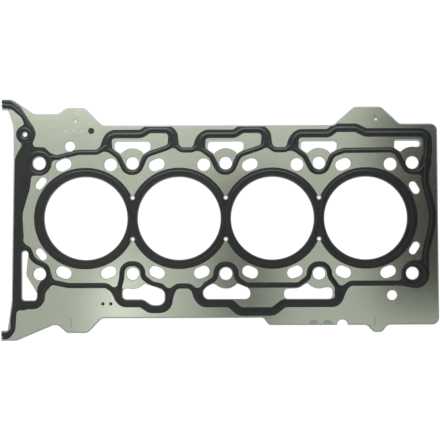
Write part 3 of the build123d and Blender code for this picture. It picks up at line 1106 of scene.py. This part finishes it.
@dataclass
class Sheets:
    """The carrier and the bead sheet, with nibbled windows and painted shade on their cut edges.

    The carrier's folded tongues have the bead sheet's finish. A cheek's points are millimetres from
    the bolt, then the shares of the step that move them.
    """

    cheek: tuple[tuple[float, float, float, float], ...] = (
        (17.0, 20.6, 0.0, 0.0), (18.5, 20.6, 1.0, 0.0), (18.5, 15.6, 1.0, -0.5), (17.6, 13.6, 1.0, -1.0),
        (15.2, 11.7, 0.0, -1.0), (13.0, 10.6, 0.0, -1.0), (11.3, 10.55, 0.0, 0.0), (11.8, 12.2, 0.0, 0.0),
    )
    inner_columns: tuple[int, ...] = (1, 2, 3)
    tool_heights: Place = (-1.0, 3.0)
    edge_slope: float = 0.3  # upward share of a normal below which a face is a cut edge
    window_step: float = 0.6
    glints: tuple[Place, ...] = ((-154.9, 100.4), (154.8, 101.8))
    glint_radius: float = 1.5
    glint_step: float = 0.1
    glint_sides: int = 20

    def window_cheeks(self, step: float) -> list[Loop]:
        """Parts of the windows beside the TOP row's inner bolts.

        Args:
            step: how far the outline is moved out, in millimetres.

        Returns:
            Closed loops of plan points.
        """
        half = [(dx + step * right, dy + step * out) for dx, dy, right, out in self.cheek]
        loops = []
        for column in self.inner_columns:
            for side in (-1, 1):
                places = [plan(column, TOP, side * dx, dy) for dx, dy in half]
                loops.append([(place.x, place.y) for place in places[::side]])
        return loops

    def glint_holes(self, step: float) -> list[Loop]:
        """Small gaps beside the two short tongues, where the floor shows through.

        Args:
            step: how far the gaps are widened, in millimetres.

        Returns:
            Closed loops of plan points.
        """
        loops = []
        for x, y in self.glints:
            ring = ring_line(Vector((x, y)), self.glint_radius + step, self.glint_sides)
            loops.append([(point.x, point.y) for point in ring])
        return loops

    def cut(self, node: str, name: str, loops: list[Loop]) -> Mesh:
        """Cut openings through a packed sheet.

        Args:
            node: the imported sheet.
            name: name of the new mesh.
            loops: outlines of the openings in millimetres.

        Returns:
            The cut mesh.
        """
        blank = linked(name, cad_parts[node].data.copy())
        tool = linked("nibbling_tool", film_mesh("nibbling_tool", loops, *self.tool_heights))
        cutter = blank.modifiers.new("windows", "BOOLEAN")
        cutter.operation = "DIFFERENCE"
        cutter.solver = "EXACT"
        cutter.object = tool
        graph = bpy.context.evaluated_depsgraph_get()
        mesh = bpy.data.meshes.new_from_object(blank.evaluated_get(graph))
        mesh.name = name
        bpy.data.objects.remove(blank)
        bpy.data.objects.remove(tool)
        return mesh

    def build(self, materials: Materials) -> Object:
        """Build both sheets.

        Args:
            materials: materials by finish name.

        Returns:
            The bead sheet, which the print follows.
        """
        under = self.cut("carrier_layer", "carrier_sheet", self.window_cheeks(0.0) + self.glint_holes(0.0))
        carrier = place_piece("carrier_sheet", under, materials[CARRIER_STEEL_AND_SHADE.name])
        carrier.data.materials.append(materials[SHEET_STEEL.name])
        for polygon in carrier.data.polygons:
            if polygon.center.z > SHEET_TOP * MM:
                polygon.material_index = 1
        # The carrier's cut edges take painted shade.
        self.paint_edge_shade(carrier, materials[EDGE_SHADE_STEEL.name])
        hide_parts("carrier_layer")
        openings = self.window_cheeks(self.window_step) + self.glint_holes(self.glint_step)
        over = self.cut("upper_bead_layer", "bead_sheet", openings)
        sheet = place_piece("bead_sheet", over, materials[SHEET_STEEL.name])
        # The bead sheet's cut edges take painted shade.
        self.paint_edge_shade(sheet, materials[EDGE_SHADE_STEEL.name])
        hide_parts("upper_bead_layer")
        return sheet

    def paint_edge_shade(self, sheet: Object, material: Material) -> None:
        """Paint shade onto a sheet's cut edges with a dark finish.

        Args:
            sheet: the sheet.
            material: the dark finish that paints shade on its edges.
        """
        sheet.data.materials.append(material)
        for polygon in sheet.data.polygons:
            if abs(polygon.normal.z) < self.edge_slope:
                polygon.material_index = len(sheet.data.materials) - 1


def sheet_edges(sheet: Object) -> list[Run]:
    """Edges of a sheet's upper face.

    Args:
        sheet: the sheet.

    Returns:
        Start and end of each edge in millimetres.
    """
    shape = bmesh.new()
    shape.from_mesh(sheet.data)
    shape.normal_update()
    found = []
    for edge in shape.edges:
        facing = [face for face in edge.link_faces if face.normal.z > FLAT_FACE]
        high = all(vertex.co.z > (SHEET_TOP - FACE_SLACK) * MM for vertex in edge.verts)
        if len(facing) == 1 and high:
            ends = [Vector((vertex.co.x / MM, vertex.co.y / MM)) for vertex in edge.verts]
            found.append((ends[0], ends[1]))
    shape.free()
    return found


@dataclass
class PassageSeal:
    """Print round the passages, windows and timing end, with its raised sealing lines."""

    relief: Relief = Relief(width=3.6, height=0.24)
    wide_relief: Relief = Relief(width=4.8, height=0.245)
    boss_rings: tuple[Corner, ...] = (
        (0, TOP, 0.0, 0.0, 11.0), (0, TOP, -14.6, 29.8, 5.6), (4, BOTTOM, 2.0, 0.5, 11.4)
    )
    bosses: tuple[Corner, ...] = ((0, TOP, -14.6, 29.8, 8.4), (4, BOTTOM, 3.0, 1.0, 14.5))
    blend: float = 5.5
    inset: float = 0.2
    flange_reach: float = 12.0

    def build_film(self, sheet: np.ndarray, material: Material) -> Object:
        """Build the printed film under the lines.

        Args:
            sheet: signed distances of the bead sheet's face.
            material: the print's material.

        Returns:
            The piece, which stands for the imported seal.
        """
        area = Field()
        flange = flange_corners()
        outline = Route(flange + flange[:1]).middle()
        area.add(area.loops_shape(list(zip(outline, outline[1:])), self.flange_reach), 0.0)
        for route in top_routes() + bottom_routes() + flange_routes()[-2:]:
            area.add_track(route.middle(), route.width, self.blend)
        for boss in self.bosses:
            area.add_disc(plan(*boss[:4]), boss[4], self.blend)
        area.keep(sheet + self.inset)
        mesh = film_mesh("passage_seal_film", area.contours(), SHEET_TOP, PRINT_TOP)
        film = place_piece("passage_seal_film", mesh, material)
        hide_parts("upper_passage_seal")
        return film

    def build(self, material: Material) -> Object:
        """Build all lines as one piece.

        Args:
            material: the print's material.

        Returns:
            The piece.
        """
        shape = ReliefMesh(self.relief)
        for route in top_routes() + bottom_routes() + flange_routes():
            shape.relief = self.wide_relief if route.width > END_WIDTH else self.relief
            shape.add(route.points())
        shape.relief = self.relief
        for boss in self.boss_rings:
            shape.add(ring_line(plan(*boss[:4]), boss[4]), closed=True)
        return shape.piece("passage_sealing_lines", Slot.SEAL_PRINT, material)


def ring_line(centre: Vector, radius: float, count: int = 60) -> list[Vector]:
    """Points on a circle, anticlockwise, in millimetres."""
    turns = [2 * math.pi * number / count for number in range(count)]
    return [centre + Vector((math.cos(turn), math.sin(turn))) * radius for turn in turns]


@dataclass
class BoreSeal:
    """Print round the cylinders, and a raised line round each that draws in at a web between two."""

    relief: Relief = Relief(width=3.2, height=0.15, crown=1.2)
    radius: float = 48.2
    web_radius: float = 46.3
    outer_radius: float = 52.2
    sheet_radius: float = 43.6
    lip: float = 0.04
    inset: float = 0.3
    end_shift: float = 1.2
    web_from: float = 18.0
    web_to: float = 34.0
    edge_margin: float = 2.0
    count: int = 180

    def line(self, number: int) -> list[Vector]:
        """Middle of one cylinder's sealing line.

        Args:
            number: the cylinder, counted from 0.

        Returns:
            Plan points in millimetres.
        """
        centre = bore_centre(number)
        points = []
        for step in range(self.count):
            turn = 2 * math.pi * step / self.count
            across = math.cos(turn)
            webbed = (number < CYLINDERS - 1 and across > 0) or (number > 0 and across < 0)
            slant = math.degrees(math.acos(min(1.0, abs(across))))
            share = min(1.0, max(0.0, (slant - self.web_from) / (self.web_to - self.web_from)))
            share = share * share * (3 - 2 * share)
            radius = self.web_radius + (self.radius - self.web_radius) * share if webbed else self.radius
            outward = 0.0 if webbed else math.copysign(self.end_shift * abs(across), across)
            points.append(centre + Vector((radius * across + outward, radius * math.sin(turn))))
        return points

    def build_film(self, sheet: np.ndarray, material: Material) -> Object:
        """Build the printed film under the lines, up to the edge of the bead sheet's bores.

        Args:
            sheet: signed distances of the bead sheet's face.
            material: the print's material.

        Returns:
            The piece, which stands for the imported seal.
        """
        area = Field()
        for number in range(CYLINDERS):
            area.add_disc(bore_centre(number), self.outer_radius, 0.0)
        for number, side in ((0, -1), (CYLINDERS - 1, 1)):
            shifted = bore_centre(number) + Vector((side * self.end_shift, 0.0))
            area.add_disc(shifted, self.outer_radius, 0.0)
        near = np.full_like(area.value, area.FAR)
        for number in range(CYLINDERS):
            near = np.minimum(near, area.disc(bore_centre(number), self.sheet_radius + self.edge_margin))
        edge = np.where(near < 0, self.lip, self.inset)
        area.keep(sheet + edge)
        mesh = film_mesh("bore_seal_film", area.contours(), SHEET_TOP, PRINT_TOP)
        film = place_piece("bore_seal_film", mesh, material)
        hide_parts("upper_bore_seal")
        return film

    def build(self, material: Material) -> Object:
        """Build the four lines as one piece.

        Args:
            material: the print's material.

        Returns:
            The piece.
        """
        shape = ReliefMesh(self.relief)
        for number in range(CYLINDERS):
            shape.add(self.line(number), closed=True)
        return shape.piece("bore_sealing_lines", Slot.SEAL_PRINT, material)


@dataclass
class BlackDots:
    """Round black dots that stand a little proud of the bead sheet."""

    dots: tuple[Point, ...] = ((-138.3, 90.2, 3.2), (-126.7, -87.8, 1.75), (-118.6, -87.8, 1.75))
    height: float = 0.06
    root: float = 0.03
    sides: int = 48

    def build(self, material: Material) -> Object:
        """Build the dots as one piece.

        Args:
            material: the print's material.

        Returns:
            The piece.
        """
        shape = bmesh.new()
        for x, y, radius in self.dots:
            made = bmesh.ops.create_cone(
                shape,
                cap_ends=True,
                segments=self.sides,
                radius1=radius * MM,
                radius2=(radius - self.height) * MM,
                depth=(self.height + self.root) * MM,
            )
            middle = (SHEET_TOP + (self.height - self.root) / 2) * MM
            bmesh.ops.translate(shape, verts=made["verts"], vec=(x * MM, y * MM, middle))
        mesh = bpy.data.meshes.new("black_dots")
        shape.to_mesh(mesh)
        shape.free()
        return place_piece("black_dots", mesh, material)


# --------------------------------------------------------------------------------------- studio


@dataclass(frozen=True)
class Lamp:
    """Soft area lamp aimed at a point of the part."""

    name: str
    place: Point
    target: Point
    size: Place
    power: float

    def build(self) -> Object:
        """Hang the lamp.

        Returns:
            The lamp.
        """
        light = bpy.data.lights.new(self.name, "AREA")
        light.shape = "RECTANGLE"
        light.size, light.size_y = self.size
        light.energy = self.power
        lamp = linked(self.name, light)
        lamp.location = self.place
        aim = Vector(self.target) - Vector(self.place)
        lamp.rotation_euler = aim.to_track_quat("-Z", "Y").to_euler()
        return lamp


@dataclass(frozen=True)
class Card:
    """Flat grey card over the part that shades its reflections and nothing else."""

    name: str
    along: Place
    across: Place
    height: float
    grey: float

    def build(self) -> Object:
        """Hang the card.

        Returns:
            The card.
        """
        graph = Graph(self.name)
        graph.feed(Base_Color=(self.grey,) * 3 + (1.0,), Roughness=MATT)
        (left, right), (low, high) = self.along, self.across
        plan_corners = [(left, low), (right, low), (right, high), (left, high)]
        card = stage_sheet(self.name, [(x, y, self.height) for x, y in plan_corners], graph.material)
        card.visible_camera = False
        card.visible_diffuse = False
        card.visible_shadow = False
        return card


def stage_sheet(name: str, corners: list[Point], material: Material) -> Object:
    """Add a flat sheet that belongs to the studio.

    Args:
        name: its name.
        corners: its four corners in metres.
        material: its material.

    Returns:
        The object.
    """
    mesh = bpy.data.meshes.new(name)
    mesh.from_pydata(corners, [], [(0, 1, 2, 3)])
    sheet = linked(name, mesh)
    dress(sheet, material)
    return sheet


@dataclass
class Studio:
    """White floor, pale world, soft lamps, cards that only reflections see, and the camera."""

    floor_size: float = 8.0
    floor_drop: float = 0.0004
    floor_white: float = 0.80
    floor_lift: float = 0.25
    world_level: float = 0.88
    camera_place: Point = (-0.0060, -0.0018, 0.62)
    camera_turn: float = -0.0026
    lens: float = 49.2
    film_width: float = 36.0
    lamps: tuple[Lamp, ...] = (
        Lamp("back_strip", (-0.10, 0.66, 1.15), (-0.05, 0.08, 0.0), (1.3, 0.22), 9.0),
        Lamp("low_bank", (-0.28, -0.235, 1.0), (-0.28, -0.235, 0.0), (0.10, 0.20), 0.10),
    )
    cards: tuple[Card, ...] = (
        Card("plain_end_card", (0.41, 2.40), (-0.25, 0.38), 1.0, 0.0),
        Card("timing_end_card", (-2.40, -0.32), (-1.40, 0.25), 1.0, 0.9),
        Card("camera_card", (-0.03, 0.14), (-0.32, 0.12), 1.0, 0.05),
    )

    def build(self) -> None:
        """Build the whole studio and look through its camera."""
        self.build_floor()
        for card in self.cards:
            card.build()
        self.build_world()
        for lamp in self.lamps:
            lamp.build()
        self.build_camera()
        bpy.context.scene.view_settings.view_transform = "Standard"

    def build_floor(self) -> None:
        """Lay the white floor under the part."""
        half = self.floor_size / 2
        corners = [(-half, -half, 0.0), (half, -half, 0.0), (half, half, 0.0), (-half, half, 0.0)]
        floor = stage_sheet("floor", corners, self.floor_material())
        floor.location.z = -self.floor_drop

    def floor_material(self) -> Material:
        """White floor that glows a little where the camera, metal or glass sees it.

        Returns:
            The material.
        """
        graph = Graph("floor_white")
        graph.feed(Base_Color=(self.floor_white,) * 3 + (1.0,), Roughness=MATT)
        graph.feed(Specular_IOR_Level=0.0, Emission_Color=(1.0, 1.0, 1.0, 1.0))
        rays = graph.add("ShaderNodeLightPath").outputs
        seen = graph.calculate("MAXIMUM", rays["Is Camera Ray"], rays["Is Glossy Ray"])
        either = graph.calculate("MAXIMUM", seen.outputs[0], rays["Is Transmission Ray"])
        lift = graph.calculate("MULTIPLY", either.outputs[0], self.floor_lift)
        graph.feed(Emission_Strength=lift.outputs[0])
        return graph.material

    def build_world(self) -> None:
        """Fill the studio with an even pale light."""
        world = bpy.data.worlds.new("studio")
        world.use_nodes = True
        background = world.node_tree.nodes["Background"]
        background.inputs["Color"].default_value = (1.0, 1.0, 1.0, 1.0)
        background.inputs["Strength"].default_value = self.world_level
        bpy.context.scene.world = world

    def build_camera(self) -> None:
        """Hang the camera over the part, looking straight down."""
        camera = linked("camera", bpy.data.cameras.new("camera"))
        camera.data.lens = self.lens
        camera.data.sensor_width = self.film_width
        camera.location = self.camera_place
        camera.rotation_euler = (0.0, 0.0, self.camera_turn)
        bpy.context.scene.camera = camera


def main() -> None:
    """Dress the solids, build the sheets, the print and its lines, the black dots, then the studio."""
    logging.basicConfig(level=logging.INFO, format="%(message)s")
    finishes = (CARRIER_STEEL_AND_SHADE, SHEET_STEEL, EDGE_SHADE_STEEL, RING_STEEL, SEAL_BLACK, UNDERSIDE_BLACK)
    materials = {finish.name: finish.material() for finish in finishes}
    Layers().dress(materials)
    sheet = Sheets().build(materials)
    face = Field()
    face_shape = face.loops_shape(sheet_edges(sheet), FACE_REACH)
    black = materials[SEAL_BLACK.name]
    passage_seal, bore_seal = PassageSeal(), BoreSeal()
    passage_seal.build_film(face_shape, black)
    passage_seal.build(black)
    bore_seal.build_film(face_shape, black)
    bore_seal.build(black)
    BlackDots().build(black)
    Studio().build()


if __name__ == "__main__":
    main()
